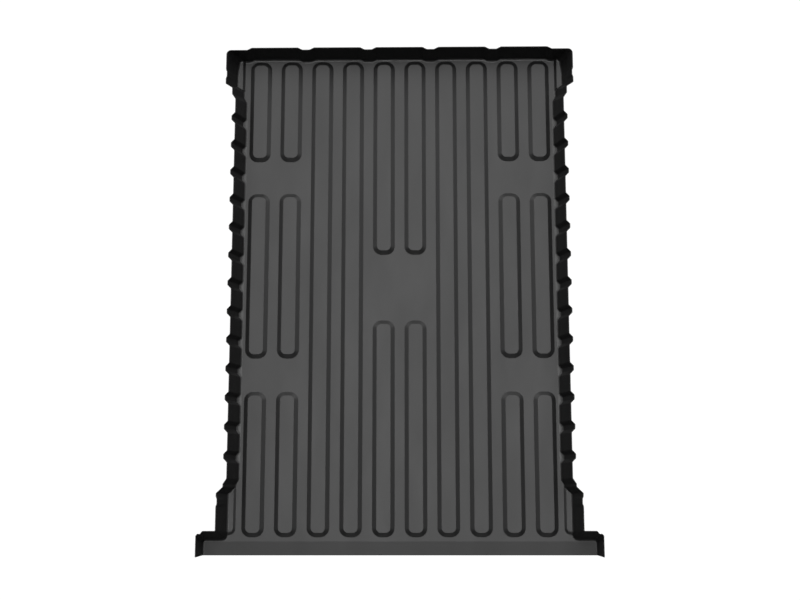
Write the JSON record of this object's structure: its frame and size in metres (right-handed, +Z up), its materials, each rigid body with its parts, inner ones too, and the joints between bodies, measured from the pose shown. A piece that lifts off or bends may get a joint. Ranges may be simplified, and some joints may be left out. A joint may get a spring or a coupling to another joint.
{
  "type": "truck bed liner",
  "caption": "Tray-shaped pickup bed liner in black moulded rubber, with raised floor ribs, low corrugated walls, and an open tail with an apron between two upright ears.",
  "frame": {"origin": "under the middle of the tray, on the surface that it lies on", "axes": "+X across the tray to the right-hand wall, +Y lengthwise to the front wall, +Z up"},
  "size_m": [1.518, 1.991, 0.0975],
  "materials": {
    "liner_rubber": "fine moulded grain with a slight sheen"
  },
  "bodies": {
    "root": {"floor_panel": "liner_rubber", "rib_left_1_front": "liner_rubber", "rib_left_1_tail": "liner_rubber", "rib_left_2": "liner_rubber", "rib_left_3": "liner_rubber", "rib_left_4_front": "liner_rubber", "rib_left_4_middle": "liner_rubber", "rib_left_4_tail": "liner_rubber", "rib_left_5_front": "liner_rubber", "rib_left_5_middle": "liner_rubber", "rib_left_5_tail": "liner_rubber", "rib_right_1_front": "liner_rubber", "rib_right_1_tail": "liner_rubber", "rib_right_2": "liner_rubber", "rib_right_3": "liner_rubber", "rib_right_4_front": "liner_rubber", "rib_right_4_middle": "liner_rubber", "rib_right_4_tail": "liner_rubber", "rib_right_5_front": "liner_rubber", "rib_right_5_middle": "liner_rubber", "rib_right_5_tail": "liner_rubber", "front_wall": "liner_rubber", "right_front_corner": "liner_rubber", "left_front_corner": "liner_rubber", "right_side_wall": "liner_rubber", "left_side_wall": "liner_rubber", "right_rear_quarter": "liner_rubber", "left_rear_quarter": "liner_rubber", "right_jog_wall": "liner_rubber", "left_jog_wall": "liner_rubber", "right_ear": "liner_rubber", "left_ear": "liner_rubber", "right_front_shelf": "liner_rubber", "left_front_shelf": "liner_rubber", "right_rear_shelf": "liner_rubber", "left_rear_shelf": "liner_rubber", "tail_apron": "liner_rubber"}
  },
  "joints": []
}
